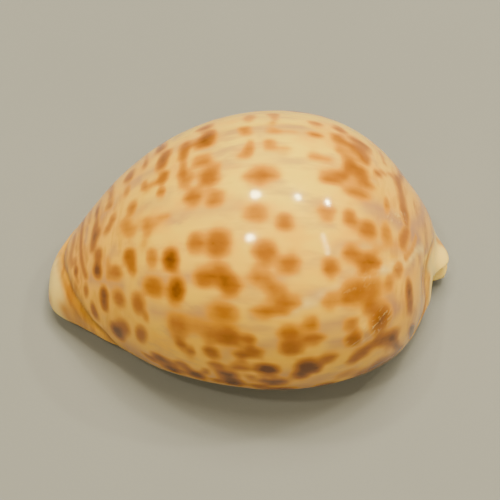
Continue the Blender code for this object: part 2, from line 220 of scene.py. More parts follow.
# Strokes of colour: half width, strength, then the places that the stroke passes
ORANGE_STROKES = [
    # Round the front
    (1.0, 0.62, [(-38.6, -50), (-38.5, -12), (-38.1, 8), (-37.6, 22), (-36.9, 32), (-36.2, 40)]),
    (0.9, 0.40, [(-36.9, -45), (-36.6, -20)]),
    (1.2, 0.40, [(-34.9, -34), (-34.6, -20), (-34.6, 4), (-34.9, 17)]),
    (1.3, 0.45, [(-32.4, -50), (-32.0, -38), (-31.5, -24)]),
    (1.2, 0.45, [(-40.6, -30), (-40.6, 14), (-40.0, 26)]),
    (0.8, 0.40, [(-39.2, 20), (-38.8, 36), (-38.2, 46)]),
    (1.0, 0.45, [(-21.0, -48), (-20.6, -36)]),
    (0.8, 0.30, [(-24.2, -46), (-23.6, -30)]),
    (0.7, 0.35, [(-32.4, -16), (-31.0, -14)]),
    (1.6, 0.22, [(-22.0, 16), (-22.6, 24)]),
    (1.2, 0.30, [(-30.8, 30), (-30.6, 40)]),
    # Between the spots of the middle
    (2.6, 0.36, [(-15.5, 60), (-9, 61), (-3.5, 62)]),
    (2.0, 0.34, [(-7.5, 65), (-3.0, 64)]),
    (1.6, 0.30, [(-10.5, -34), (-9.8, -32)]),
    (1.3, 0.30, [(-7.2, -8), (-11.5, -7)]),
    (1.5, 0.22, [(-15, 70), (-12, 79)]),
    # Round the rear
    (1.6, 0.40, [(20.0, -9), (24.0, -8)]),
    (1.5, 0.35, [(15.0, -4), (19.5, -7)]),
    (1.2, 0.30, [(19.0, -17), (24.0, -18)]),
    (1.0, 0.36, [(33.6, -46), (33.0, -34), (31.8, -24)]),
    (1.5, 0.30, [(32.6, -40), (32.2, -20), (32.4, -6)]),
    (0.7, 0.36, [(26.4, -15), (29.4, -22), (31.5, -26)]),
    (0.8, 0.34, [(27.5, -38), (28.6, -28)]),
    (1.0, 0.45, [(38.6, 4), (38.4, 20), (38.8, 36), (39.3, 52)]),
    (0.8, 0.36, [(35.6, 6), (34.6, 16), (32.8, 22)]),
    (1.3, 0.22, [(26, 22), (29, 18), (33, 15)]),
    (1.8, 0.20, [(20, 43), (23, 38.5), (26.5, 38.5)]),
    (1.0, 0.45, [(34.6, 47), (35.2, 54)]),
    # This stroke is partly a brown streak and partly painted shade low on the rear side
    (1.0, 0.50, [(31.0, 66), (32.4, 76), (33.6, 86)]),
    (0.8, 0.60, [(35.6, 66), (36.4, 78), (36.8, 86)]),
    (2.0, 0.28, [(28.5, 63), (31.5, 66), (30.5, 72)]),
    # This stroke is painted shadow low on the rear side
    (2.6, 0.62, [(25, 90), (32, 88)]),
]
MAUVE_STROKES = [
    (1.5, 0.60, [(-27, -21), (-20, -20)]),
    (1.7, 0.40, [(-17, -29), (-5, -27), (4, -24), (12, -25)]),
    (0.8, 0.55, [(1, -22), (5, -24.5), (10, -26)]),
    (1.4, 0.30, [(-10, -17), (-2, -14), (6, -11)]),
    (1.6, 0.45, [(-17, 12), (-10, 12), (-3, 11)]),
    (1.6, 0.40, [(-25, 3), (-18, 2)]),
    (1.0, 0.45, [(-29.5, 22), (-31, 31)]),
    (1.8, 0.60, [(-35, 43), (-31, 43), (-27.5, 46)]),
    (1.3, 0.65, [(-23, 43), (-19, 41), (-14, 40), (-5, 36)]),
    (2.0, 0.62, [(-20, 56), (-12, 56), (-5, 51)]),
    (1.4, 0.70, [(0, 40), (5, 38.5), (9, 34)]),
    (1.4, 0.72, [(1, 53), (6, 50), (10, 46.5), (15, 42.5)]),
    (2.0, 0.60, [(3, 66), (7, 63)]),
    (1.6, 0.45, [(-5, 75), (-3, 69)]),
    (2.0, 0.70, [(15.5, 56), (19.5, 54)]),
    (2.0, 0.68, [(18, 64), (22, 63), (26.5, 60)]),
    (1.2, 0.60, [(17, 25.5), (22, 22), (28, 19), (34, 17)]),
    (1.1, 0.60, [(19, 35.0), (24, 33), (28, 30)]),
    (2.3, 0.80, [(24, 4), (28, 4), (31, 5), (36.5, 7)]),
    (2.0, 0.70, [(29.5, 44), (31.5, 49)]),
    (2.2, 0.60, [(29.5, 50), (29.5, 58)]),
    (1.5, 0.60, [(35, 22), (33.5, 30)]),
    (1.9, 0.70, [(38.6, -40), (38.0, -24), (37.0, -10), (34.8, 0)]),
    (0.8, 0.50, [(-37, -12), (-36.8, 5)]),
    # This stroke is painted shade: the low near side darkened in mauve where the base turns under
    (3.2, 0.60, [(-26, 93), (-12, 93), (2, 94), (14, 96)]),
    (2.2, 0.60, [(6, 83), (9, 82)]),
    (1.6, 0.45, [(-33, -10), (-30, -14)]),
    (2.0, 0.35, [(38.2, 58), (38.4, 74)]),
]

# The faint pale ridge where the two mantle lobes met: its half width and height, and its places
MANTLE_LINE_WIDTH = 0.9
MANTLE_RIDGE = 0.05
MANTLE_LINE = [
    (4.3, 51), (9.7, 48), (14.7, 43), (18.7, 39.5), (23, 35), (27, 31), (30.7, 27), (34, 21), (37.6, 8),
]

# Brown lines along both creases, partly brown glaze and partly painted shade in the grooves, under the
# body's overhang at the front and in the gap at the rear, and stains on the callus, as strokes
CREASE_STRIPES = [
    (1.5, 0.85, [
        (-43.0, -14), (-42.8, 8), (-42.3, 24), (-41.4, 38),
        (-40.2, 50), (-38.8, 62), (-37.3, 73), (-35.6, 83),
    ]),
    (0.5, 0.35, [(-41.2, 4), (-41.0, 20), (-39.9, 42), (-38.0, 58), (-36.2, 70), (-34.6, 80)]),
    (0.40, 0.60, [(-42.2, 10), (-41.6, 28), (-41.2, 46)]),
    (1.0, 0.45, [(-44.2, 10), (-43.6, 30), (-42.6, 44), (-41.2, 57), (-39.8, 68), (-38.6, 78), (-37.4, 90)]),
    (0.35, 0.45, [(-42.8, 36), (-41.9, 50), (-40.6, 62), (-39.2, 73), (-37.6, 84)]),
    (1.0, 0.45, [(39.6, 14), (40.2, 30), (40.5, 50), (40.4, 66)]),
    (0.35, 0.60, [(38.4, -22), (38.4, -8), (38.3, 4)]),
]
CALLUS_STROKES = [
    (1.5, 0.70, [(-41.3, 52), (-40.0, 64), (-38.8, 74), (-38.4, 84), (-37.6, 96)]),
    (2.2, 0.95, [(-41.2, 84), (-40.8, 92)]),
    (1.2, 0.40, [(-35.0, 90), (-33.5, 100)]),
    (0.8, 0.50, [(41.6, 80), (41.9, 92)]),
    (1.1, 0.80, [(42.6, -60), (44.0, -67), (45.2, -74)]),
]

# Wrinkles: half width, height, then the places that the wrinkle passes
WRINKLES = [
    (0.5, 0.30, [(22.5, 62), (25.0, 58.5), (28.0, 52.5)]),
    (0.4, -0.22, [(24.2, 61), (27.5, 56), (29.3, 52.5)]),
    (0.4, 0.20, [(26.0, 61.0), (28.6, 57), (30.3, 52)]),
    (0.30, 0.12, [(-34.6, -28), (-34.5, -22), (-34.3, -16)]),
    (0.22, 0.10, [(30.6, -1), (31.4, 1), (31.2, 3)]),
    (0.20, 0.09, [(31.8, -3), (32.4, -1), (31.9, 1)]),
    (0.20, 0.09, [(29.2, 5), (29.9, 6.5), (29.4, 8)]),
    (0.25, 0.08, [(24, 34.5), (27, 32.0), (29.6, 28.5)]),
    (0.25, 0.08, [(18, 41.5), (22, 37.5), (26, 33.5)]),
]

# Areas of hair-like wrinkles, given as strokes, and the direction in which the wrinkles run; their crests
# are also painted pale, partly as scratches and partly as painted glints
WRINKLED_AREAS = [
    (1.9, 1.0, [(22.9, 62), (25.5, 58), (28.5, 53)]),
    (1.6, 0.6, [(29.5, 4), (32, -1)]),
    (1.4, 0.25, [(19, 41), (25, 35), (30, 28)]),
]
WRINKLE_GRAIN = (0.77, 0.38, 0.51)

# Spots of the same kinds on the side that the photo doesn't show
HIDDEN_SPOTS = 46
HIDDEN_ROUND = (-104.0, -50.0)
HIDDEN_ALONG = (-35.0, 33.0)
HIDDEN_SPACING = 4.6
HIDDEN_SIZE = (1.1, 2.0)
HIDDEN_DEPTH = (0.42, 0.70)

SEED = 7                       # for the places of those spots, and for the uneven edges


def screen(red, green, blue):
    """A colour as it looks on screen, 0 to 255, as the linear values that a shader takes."""
    shares = np.array([red, green, blue]) / 255.0
    linear = np.where(shares <= 0.04045, shares / 12.92, ((shares + 0.055) / 1.055) ** 2.4)
    return tuple(float(value) for value in linear)


def colour(name, description, red, green, blue):
    """A colour setting, given as it looks on screen."""
    return FloatVectorProperty(
        name=name, description=description, default=screen(red, green, blue),
        subtype="COLOR", size=3, min=0.0, max=1.0,
    )


def length(name, description, millimetres):
    """A length setting, given in millimetres."""
    return FloatProperty(name=name, description=description, default=millimetres * MM, unit="LENGTH")


class CowrieForm(PropertyGroup):
    """Sizes of the carving"""
    tooth_pitch: length("Tooth pitch", "Distance from tooth to tooth along a lip", 3.0)
    tooth_relief: length("Tooth relief", "Height of a tooth over the furrow beside it", 0.9)
    crease_depth: length("Crease depth", "Depth of the grooves where the back's glaze ends", 0.4)
    crease_width: length("Crease width", "Half width of those grooves", 0.7)
    callus_swell: length("Callus swell", "How far the callus stands out past the grooves", 0.45)
    waviness: length("Waviness", "Slow unevenness of the whole surface", 0.10)


class CowrieColours(PropertyGroup):
    """Colours of the glaze"""
    cream: colour("Cream", "Ground colour of the back", 252, 206, 42)
    # Honey is partly the crown's own colour and partly painted light from above
    crown_honey_and_light: colour("Honey", "Warmer ground colour round the crown", 255, 222, 54)
    peach: colour("Peach", "Ground colour of the sides", 247, 188, 46)
    # Scar is partly brown lines by the creases and partly painted shade in the grooves and under the
    # overhangs
    crease_brown_and_shade: colour("Scar", "Lines beside the creases", 132, 74, 8)
    # Tan is partly darker pigment low on the sides and partly painted shade there
    tan: colour("Tan", "Ground colour low on the sides", 152, 98, 32)
    amber: colour("Amber", "Deep ground colour of the ends and of the clouds", 250, 183, 0)
    mauve: colour("Mauve", "Lengthwise bands under the spots", 170, 120, 108)
    golden: colour("Golden", "Thin edges of the spots", 220, 149, 0)
    chestnut: colour("Chestnut", "Body of the spots", 166, 99, 0)
    umber: colour("Umber", "Cores of the darkest spots", 100, 55, 6)
    callus: colour("Callus", "Smooth thickened ends", 255, 220, 126)
    base: colour("Base", "Underside round the aperture", 250, 232, 196)
    inside: colour("Inside", "Lining of the hollow", 228, 206, 190)


class CowrieStage(PropertyGroup):
    """Floor, lights and lens"""
    floor: colour("Floor", "Colour of the floor", 130, 133, 148)
    lamp_power: FloatProperty(
        name="Lamps", description="Power of each small lamp", default=2.2, unit="POWER",
    )
    sky_power: FloatProperty(
        name="Overhead", description="Power of the wide overhead light", default=15.7, unit="POWER",
    )
    focal_length: FloatProperty(
        name="Lens", description="Focal length of the camera", default=96.65, unit="CAMERA",
    )


def ease(value, low, high):
    """0 below low, 1 above high, smooth between them."""
    share = np.clip((value - low) / (high - low), 0.0, 1.0)
    return share * share * (3 - 2 * share)


def axis_height(along):
    """Height of the line that the degrees are counted round."""
    share = 1.0 - (along / AXIS_REACH) ** 2
    return AXIS_END_HEIGHT + (AXIS_MIDDLE_HEIGHT - AXIS_END_HEIGHT) * share


class Skin:
    """The shell's surface in millimetres, carved and painted point by point."""

    def __init__(self, mesh):
        self.mesh = mesh
        self.count = len(mesh.vertices)
        self.read()
        polygons = [tuple(polygon.vertices) for polygon in mesh.polygons]
        self.tree = BVHTree.FromPolygons([Vector(point) for point in self.points], polygons)
        facing = (self.normals * self.out).sum(axis=1)
        sunk = ease(self.along, *SPIRE_ALONG) * ease(self.height, *SPIRE_HEIGHT)
        self.outside = np.maximum(np.maximum(self.uncovered(), ease(facing, *FACING_OUT)), sunk)
        noise.seed_set(SEED)   # without it, noise_vector gives other shifts in each run
        self.warped = self.points
        for size, amount in WANDERS:
            self.warped = self.warped + self.wander(size, amount)

    def read(self):
        """Takes places and normals from the mesh, and works out what follows from them."""
        flat = np.empty(3 * self.count, np.float32)
        self.mesh.vertices.foreach_get("co", flat)
        self.points = flat.reshape(-1, 3).astype(float) / MM
        flat = np.empty(3 * self.count, np.float32)
        self.mesh.vertex_normals.foreach_get("vector", flat)
        self.normals = flat.reshape(-1, 3).astype(float)
        self.along = self.points[:, 0]
        self.height = self.points[:, 2]
        out = np.column_stack([
            np.zeros(self.count), self.points[:, 1], self.height - axis_height(self.along),
        ])
        self.round = np.degrees(np.arctan2(-out[:, 1], out[:, 2]))
        self.out = out / np.linalg.norm(out, axis=1)[:, None]

    def uncovered(self):
        """1 where nothing of the shell lies further out than a point, 0 on the lining of the hollow."""
        just_off = 0.05 * self.normals + 0.1 * self.out
        starts = self.points + just_off
        free = np.array([
            self.tree.ray_cast(Vector(start), Vector(out))[0] is None for start, out in zip(starts, self.out)
        ], float)
        ends = np.empty(2 * len(self.mesh.edges), np.int32)
        self.mesh.edges.foreach_get("vertices", ends)
        one, other = ends.reshape(-1, 2).T
        neighbours = np.bincount(one, minlength=self.count) + np.bincount(other, minlength=self.count)
        for _ in range(3):
            total = np.bincount(one, free[other], self.count) + np.bincount(other, free[one], self.count)
            free = 0.5 * free + 0.5 * total / neighbours
        return free

    def wander(self, size, amount):
        """A slow, uneven shift of each point, so that what is painted has a natural edge."""
        shifts = [noise.noise_vector(Vector(point) / size) for point in self.points]
        return amount * np.array(shifts)

    def place(self, along, round_):
        """The point on the outside at a place, and the direction out of the surface there."""
        angle = math.radians(round_)
        out = Vector((0.0, -math.sin(angle), math.cos(angle)))
        start = Vector((along, 0.0, axis_height(along))) + out * CLEAR_OF_THE_SHELL
        point, normal, _, _ = self.tree.ray_cast(start, -out)
        if point is None:
            raise RuntimeError(f"the shell has no surface at {along} mm, {round_} degrees")
        return point, normal

    def near(self, places, half_width):
        """1 on a stroke through the places, falling off smoothly past its half width."""
        route = np.array(places, float)
        steps = np.linspace(0, len(route) - 1, 24 * (len(route) - 1) + 1)
        marks = [np.interp(steps, np.arange(len(route)), route[:, k]) for k in (0, 1)]
        path = np.array([self.place(along, round_)[0] for along, round_ in zip(*marks)])
        reach = 3 * half_width + 1.0
        past_least = self.warped > path.min(axis=0) - reach
        short_of_most = self.warped < path.max(axis=0) + reach
        chosen = np.flatnonzero((past_least & short_of_most).all(axis=1))
        gaps = np.linalg.norm(self.warped[chosen][:, None] - path[None], axis=2).min(axis=1)
        weights = np.zeros(self.count)
        weights[chosen] = np.exp(-((gaps / half_width) ** 2))
        return weights * self.outside

    def spot(self, along, round_, half_length, half_width, turn):
        """Distance from a spot's middle, counted in its own half sizes."""
        middle, normal = self.place(along, round_)
        lengthwise = (Vector((1, 0, 0)) - normal * normal.x).normalized()
        across = lengthwise.cross(normal)
        away = self.warped - np.array(middle)
        run, rise = away @ np.array(lengthwise), away @ np.array(across)
        cosine, sine = math.cos(math.radians(turn)), math.sin(math.radians(turn))
        deep = away @ np.array(normal)
        return np.sqrt(
            ((run * cosine + rise * sine) / (SPOT_LENGTHENING * half_length)) ** 2
            + ((rise * cosine - run * sine) / half_width) ** 2
            + (deep / (half_length + half_width)) ** 2
        )

    def move(self, distance):
        """Moves every point out along its normal by a distance in millimetres, but never below the base."""
        moved = self.points + self.normals * distance[:, None]
        moved[:, 2] = np.maximum(moved[:, 2], 0.0)
        self.mesh.vertices.foreach_set("co", (moved * MM).astype(np.float32).ravel())
        self.mesh.update()
        self.read()

    def keep(self, name, values):
        """Stores values as an attribute that the material reads."""
        attribute = self.mesh.attributes.new(name, "FLOAT", "POINT")
        attribute.data.foreach_set("value", values.astype(np.float32))


def merged(strokes, skin):
    """Several strokes painted over one another."""
    bare = np.ones(skin.count)
    for half_width, strength, places in strokes:
        bare *= 1.0 - strength * skin.near(places, half_width)
    return 1.0 - bare


def hidden_spots(skin):
    """Spots for the far side, each in a free place."""
    dice = random.Random(SEED)
    spots, middles = [], []
    for _ in range(40 * HIDDEN_SPOTS):
        along, round_ = dice.uniform(*HIDDEN_ALONG), dice.uniform(*HIDDEN_ROUND)
        middle, _ = skin.place(along, round_)
        size = dice.uniform(*HIDDEN_SIZE)
        slim = 1.0 - 0.35 * (abs(along) / AXIS_REACH) ** 2
        depth = dice.uniform(*HIDDEN_DEPTH) + 0.25 * float(ease(-round_, 75, 100))
        if len(spots) < HIDDEN_SPOTS and all((middle - other).length > HIDDEN_SPACING for other in middles):
            middles.append(middle)
            half_width, turn = size * dice.uniform(0.9, 1.4), dice.uniform(-25, 25)
            spots.append((along, round_, size * slim, half_width, turn, depth))
    return spots


def pigment(skin):
    """How deep the brown of the spots is at each point, and the golden haze round them."""
    bare, hazy = np.ones(skin.count), np.ones(skin.count)
    for along, round_, half_length, half_width, turn, depth in SPOTS + hidden_spots(skin):
        away = skin.spot(along, round_, half_length, half_width, turn)
        bare *= 1.0 - depth * (1.0 - ease(away, SPOT_CORE, SPOT_EDGE))
        hazy *= 1.0 - depth * np.exp(-(away / HAZE_REACH) ** 2)
    return (1.0 - bare) * skin.outside, (1.0 - hazy) * skin.outside


def past_crease(skin, crease, end):
    """How far each point lies past a crease, towards that end of the shell."""
    degrees, along = np.array(crease, float).T
    return (skin.along - np.interp(skin.round, degrees, along)) * end


def along_crease(skin, crease, half_width):
    """1 on a crease, falling off past its half width."""
    return skin.near([(along, round_) for round_, along in crease], half_width)


def above_creases_end(skin):
    """1 round the back and the sides, 0 on the base, where the creases have died out."""
    return 1.0 - ease(np.abs(skin.round), *CREASE_FADE)


def teeth(skin, pitch):
    """Crests (1) and furrows (0) of the teeth, and how strongly they show at each point."""
    off_middle = skin.points[:, 1] - np.interp(skin.along, *np.array(SLIT).T)
    first = np.where(off_middle > 0, FIRST_OUTER_TOOTH, FIRST_COLUMELLA_TOOTH)
    crests = np.cos(np.pi * (skin.along - first) / pitch) ** 2
    on_base = 1.0 - ease(np.abs(off_middle) - SLIT_HALF_GAP, 1.0, TOOTH_ON_BASE)
    in_throat = 1.0 - ease(skin.height, 0.5 * TOOTH_IN_THROAT, TOOTH_IN_THROAT)
    front_end, rear_end = TEETH_END
    within = ease(skin.along, front_end, front_end + TEETH_FADE)
    within = within * (1 - ease(skin.along, rear_end - TEETH_FADE, rear_end))
    return crests, on_base * in_throat * within


def carve(skin, form):
    """Sculpts what is too fine for the solid: teeth, creases, callus, wrinkles and waviness."""
    to_mm = 1 / MM
    crests, strength = teeth(skin, form.tooth_pitch * to_mm)
    relief = form.tooth_relief * to_mm * (crests ** 0.7 - 0.5) * strength
    front, rear = past_crease(skin, FRONT_CREASE, -1), past_crease(skin, REAR_CREASE, 1)
    upper = above_creases_end(skin)
    swell = (ease(front, 0.2, 2.6) + 0.5 * ease(rear, 0.2, 2.0)) * skin.outside * upper
    width = form.crease_width * to_mm
    grooves = along_crease(skin, FRONT_CREASE, width) + 0.8 * along_crease(skin, REAR_CREASE, 0.8 * width)
    relief += form.callus_swell * to_mm * swell - form.crease_depth * to_mm * grooves * upper
    for half_width, height, places in WRINKLES:
        relief += height * skin.near(places, half_width)
    relief += MANTLE_RIDGE * skin.near(MANTLE_LINE, MANTLE_LINE_WIDTH)
    waves = np.array([noise.noise(Vector(point) / WAVE_LENGTH) for point in skin.points])
    relief += form.waviness * to_mm * waves * skin.outside * ease(skin.height, 2, 9)
    skin.move(relief)


def paint(skin, form):
    """Lays the colours on as attributes, each from 0 to 1."""
    front, rear = past_crease(skin, FRONT_CREASE, -1), past_crease(skin, REAR_CREASE, 1)
    tip = ease(skin.near(BEAK_TIP, BEAK_TIP_WIDTH), 0.15, 0.80)
    flange = ease(rear, 0.0, 0.7) * np.maximum(1.0 - ease(skin.round, 8, 22), ease(skin.along, 40.6, 41.2))
    ends = ease(np.abs(skin.along), *INNER_ENDS)
    callus = np.maximum(np.maximum(tip, flange) * skin.outside, ends * (1 - skin.outside))
    width = form.crease_width / MM
    # The crease mask is partly brown lines and partly painted shade in the grooves
    crease = np.maximum(along_crease(skin, FRONT_CREASE, width), merged(CREASE_STRIPES, skin))
    crease = np.maximum(crease, along_crease(skin, REAR_CREASE, 0.7 * width))
    under = ease(-skin.normals[:, 2], *FACING_DOWN) * ease(-skin.height, *BASE_HEIGHTS)
    spots, haze = pigment(skin)
    brown = 1.0 - (1.0 - spots) * (1.0 - merged(ORANGE_STROKES, skin))
    crown, _ = skin.place(*CROWN)
    off_crown = np.linalg.norm(skin.points - np.array(crown), axis=1)
    crests, strength = teeth(skin, form.tooth_pitch / MM)
    skin.keep("pigment", brown * (1 - callus) * (1 - under))
    skin.keep("haze", haze * (1 - callus) * (1 - under))
    skin.keep("mauve", merged(MAUVE_STROKES, skin) * (1 - callus))
    # Partly painted light: the crown made warmer and brighter where the light from above falls most, partly
    # its own colour
    skin.keep("crown_warmth_and_light", np.exp(-(off_crown / CROWN_REACH) ** 2))
    skin.keep("ends", ease(np.abs(skin.along), *DEEPER_ENDS) * (1 - callus))
    skin.keep("stain", merged(CALLUS_STROKES, skin) * (ease(front, 0.0, 1.0) + ease(rear, 0.0, 1.0)))
    skin.keep("side", ease(-skin.height, *SIDE_HEIGHTS) * skin.outside)
    # Partly painted shade: the low sides darkened, as well as given their darker pigment
    skin.keep("low", ease(-skin.height, *LOW_TAN_AND_SHADE_HEIGHTS) * skin.outside)
    skin.keep("callus", callus)
    skin.keep("crease", 0.85 * crease * above_creases_end(skin))
    skin.keep("line", skin.near(MANTLE_LINE, MANTLE_LINE_WIDTH))
    skin.keep("wrinkled", merged(WRINKLED_AREAS, skin))
    skin.keep("under", under)
    skin.keep("inside", (1.0 - skin.outside) * (1 - ends))
    skin.keep("furrow", (1 - crests) * strength)


class Tree:
    """A material's nodes, added and linked in one line each."""

    def __init__(self, material):
        material.use_nodes = True
        self.nodes = material.node_tree.nodes
        self.links = material.node_tree.links

    def add(self, kind, inputs=None, **settings):
        node = self.nodes.new(kind)
        for name, value in settings.items():
            setattr(node, name, value)
        for name, value in (inputs or {}).items():
            if isinstance(value, bpy.types.NodeSocket):
                self.links.new(value, node.inputs[name])
            else:
                node.inputs[name].default_value = value
        return node

    def attribute(self, name):
        return self.add("ShaderNodeAttribute", attribute_name=name).outputs["Fac"]

    def spread(self, value, low, high):
        """0 below low, 1 above high, smooth between them."""
        inputs = {"Value": value, "From Min": low, "From Max": high}
        return self.add("ShaderNodeMapRange", inputs, interpolation_type="SMOOTHSTEP").outputs["Result"]

    def sum(self, value, factor, start):
        """value times factor, plus start."""
        inputs = {0: value, 1: factor, 2: start}
        return self.add("ShaderNodeMath", inputs, operation="MULTIPLY_ADD").outputs[0]

    def times(self, one, other):
        return self.add("ShaderNodeMath", {0: one, 1: other}, operation="MULTIPLY").outputs[0]

    def over(self, ground, top, share):
        """The colour top laid over the colour ground."""
        node = self.add("ShaderNodeMix", data_type="RGBA")
        sockets = [socket for socket in node.inputs if socket.enabled]
        for socket, value in zip(sockets, (share, ground, top)):
            if isinstance(value, bpy.types.NodeSocket):
                self.links.new(value, socket)
            elif isinstance(value, (int, float)):
                socket.default_value = value
            else:
                socket.default_value = (*value, 1.0)
        return [socket for socket in node.outputs if socket.enabled][0]

    def slanted(self, size, grain, stretch, detail=3.0):
        """Uneven grey as noise() gives, but drawn out along a slanted direction."""
        where = self.add("ShaderNodeTexCoord").outputs["Object"]
        along = Vector(grain).normalized()
        aside = along.cross(Vector((0, 0, 1))).normalized()
        parts = {}
        for name, direction in zip("XYZ", (along * stretch, aside, along.cross(aside))):
            dot = self.add("ShaderNodeVectorMath", {0: where, 1: direction}, operation="DOT_PRODUCT")
            parts[name] = dot.outputs["Value"]
        turned = self.add("ShaderNodeCombineXYZ", parts).outputs["Vector"]
        inputs = {"Vector": turned, "Scale": 1 / (size * MM), "Detail": detail}
        return self.add("ShaderNodeTexNoise", inputs).outputs["Fac"]

    def noise(self, size, stretch=(1, 1, 1), detail=3.0):
        """Uneven grey, 0 to 1, with features of a size in millimetres."""
        where = self.add("ShaderNodeTexCoord").outputs["Object"]
        scaled = self.add("ShaderNodeMapping", {"Vector": where, "Scale": stretch}).outputs["Vector"]
        inputs = {"Vector": scaled, "Scale": 1 / (size * MM), "Detail": detail}
        return self.add("ShaderNodeTexNoise", inputs).outputs["Fac"]


def shell_glaze(colours):
    """The shell's porcelain gloss over its painted colours."""
    material = bpy.data.materials.new("polished cowrie")
    tree = Tree(material)
    mottle = tree.noise(2.2, detail=4.0)
    clouds = tree.noise(7.0, stretch=(0.6, 1.0, 1.0), detail=2.0)
    bands = tree.noise(4.0, stretch=(0.22, 1.0, 1.0))
    streaks = tree.noise(1.6, stretch=(1.0, 0.22, 0.22))
    # The crown's honey colour: partly its own, partly painted light
    ground = tree.over(colours.cream, colours.crown_honey_and_light, tree.attribute("crown_warmth_and_light"))
    ground = tree.over(ground, colours.peach, tree.attribute("side"))
    # Tan low on the sides: partly pigment, partly painted shade
    ground = tree.over(ground, colours.tan, tree.times(tree.attribute("low"), 0.9))
    ground = tree.over(ground, colours.mauve, tree.times(tree.spread(bands, 0.48, 0.70), 0.60))
    ground = tree.over(ground, colours.amber, tree.times(tree.spread(clouds, 0.46, 0.72), 0.75))
    at_ends = tree.attribute("ends")
    ground = tree.over(ground, colours.amber, tree.times(at_ends, tree.sum(clouds, -0.9, 1.30)))
    worn = tree.times(at_ends, tree.spread(streaks, 0.45, 0.70))
    ground = tree.over(ground, colours.golden, worn)
    ground = tree.over(ground, colours.chestnut, tree.times(worn, 0.45))
    ground = tree.over(ground, colours.amber, tree.times(tree.attribute("haze"), 0.75))
    ground = tree.over(ground, colours.mauve, tree.attribute("mauve"))
    ground = tree.over(ground, colours.callus, tree.times(tree.attribute("line"), 0.8))
    grain = tree.noise(0.9, stretch=(0.45, 1.0, 1.0))
    wrinkles = tree.slanted(0.8, WRINKLE_GRAIN, 0.06)
    depth = tree.times(tree.attribute("pigment"), tree.sum(mottle, 0.3, 0.95))
    depth = tree.times(depth, tree.sum(grain, 0.24, 0.90))
    spots = tree.over(ground, colours.golden, tree.spread(depth, 0.0, 0.34))
    spots = tree.over(spots, colours.chestnut, tree.spread(depth, 0.18, 0.66))
    spots = tree.over(spots, colours.umber, tree.spread(depth, 0.58, 1.04))
    # Pale on the wrinkles' crests: partly scratches, partly painted glints
    scuffs_and_glints = tree.times(tree.attribute("wrinkled"), tree.spread(wrinkles, 0.54, 0.64))
    spots = tree.over(spots, colours.callus, tree.times(scuffs_and_glints, 0.5))
    ends = tree.over(spots, colours.callus, tree.attribute("callus"))
    ends = tree.over(ends, colours.golden, tree.attribute("stain"))
    ends = tree.over(ends, colours.chestnut, tree.times(tree.attribute("stain"), 0.40))
    # Brown over the creases, partly lines in the glaze and partly painted shade in the grooves
    ends = tree.over(ends, colours.crease_brown_and_shade, tree.times(tree.attribute("crease"), tree.sum(streaks, 0.5, 0.65)))
    whole = tree.over(ends, colours.base, tree.attribute("under"))
    whole = tree.over(whole, colours.golden, tree.times(tree.attribute("furrow"), 0.25))
    whole = tree.over(whole, colours.inside, tree.attribute("inside"))
    rough = tree.sum(mottle, 0.06, 0.08)
    relief = tree.sum(wrinkles, tree.attribute("wrinkled"), tree.times(streaks, 0.025))
    bump = tree.add("ShaderNodeBump", {"Height": relief, "Strength": 1.0, "Distance": 0.4 * MM})
    surface = tree.nodes["Principled BSDF"]
    surface.inputs["IOR"].default_value = 1.50
    surface.inputs["Subsurface Weight"].default_value = 0.12
    surface.inputs["Subsurface Radius"].default_value = (1.0, 0.6, 0.3)
    surface.inputs["Subsurface Scale"].default_value = 2.0 * MM
    tree.links.new(whole, surface.inputs["Base Color"])
    tree.links.new(rough, surface.inputs["Roughness"])
    tree.links.new(bump.outputs["Normal"], surface.inputs["Normal"])
    return material


def deselect():
    """Leaves nothing selected, so that an operator acts only on what is chosen next."""
    for item in bpy.context.view_layer.objects:
        item.select_set(False)


def choose(piece):
    """Selects one object alone and makes it the active one."""
    deselect()
    piece.select_set(True)
    bpy.context.view_layer.objects.active = piece


# How many times as many points the refined surface has, at the least
LEAST_REFINEMENT = 10


class OBJECT_OT_cowrie_shell(Operator):
    """Make the shell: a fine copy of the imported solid, carved, painted and glazed"""
    bl_idname = "object.cowrie_shell"
    bl_label = "Cowrie shell"

    def execute(self, context):
        solid = frame["nodes"][NODE]
        shell = bpy.data.objects.new(PIECE, solid.data.copy())
        context.scene.collection.objects.link(shell)
        choose(shell)
        bpy.ops.object.mode_set(mode="EDIT")
        bpy.ops.mesh.select_all(action="SELECT")
        bpy.ops.mesh.remove_doubles(threshold=0.001 * MM)
        bpy.ops.mesh.tris_convert_to_quads(face_threshold=math.pi, shape_threshold=math.pi)
        bpy.ops.object.mode_set(mode="OBJECT")
        joined = len(shell.data.vertices)
        smooth = shell.modifiers.new("smooth", "SUBSURF")
        smooth.levels = smooth.render_levels = 2
        bpy.ops.object.modifier_apply(modifier=smooth.name)
        if len(shell.data.vertices) < LEAST_REFINEMENT * joined:
            raise RuntimeError("the shell's surface wasn't refined")
        # The solid's own normals no longer fit the finer surface
        for name in [item.name for item in shell.data.attributes if item.name.startswith("custom_normal")]:
            shell.data.attributes.remove(shell.data.attributes[name])
        skin = Skin(shell.data)
        carve(skin, context.scene.cowrie_form)
        paint(skin, context.scene.cowrie_form)
        bpy.ops.object.shade_smooth()
        shell.data.materials.clear()
        shell.data.materials.append(shell_glaze(context.scene.cowrie_colours))
        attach(shell, "root")
        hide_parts(NODE)
        return {"FINISHED"}


# The camera: what it looks at, how far off it is, and its direction and roll in degrees
AIM = Vector((0.0, 0.0, 20.0))
CAMERA_DISTANCE = 300.0
CAMERA_TURN = 0.83
CAMERA_HEIGHT = 59.73
CAMERA_ROLL = 1.22
CAMERA_SHIFT = (-0.0026, -0.0088)
SENSOR_WIDTH = 36.0
NEAREST_SEEN = 0.01

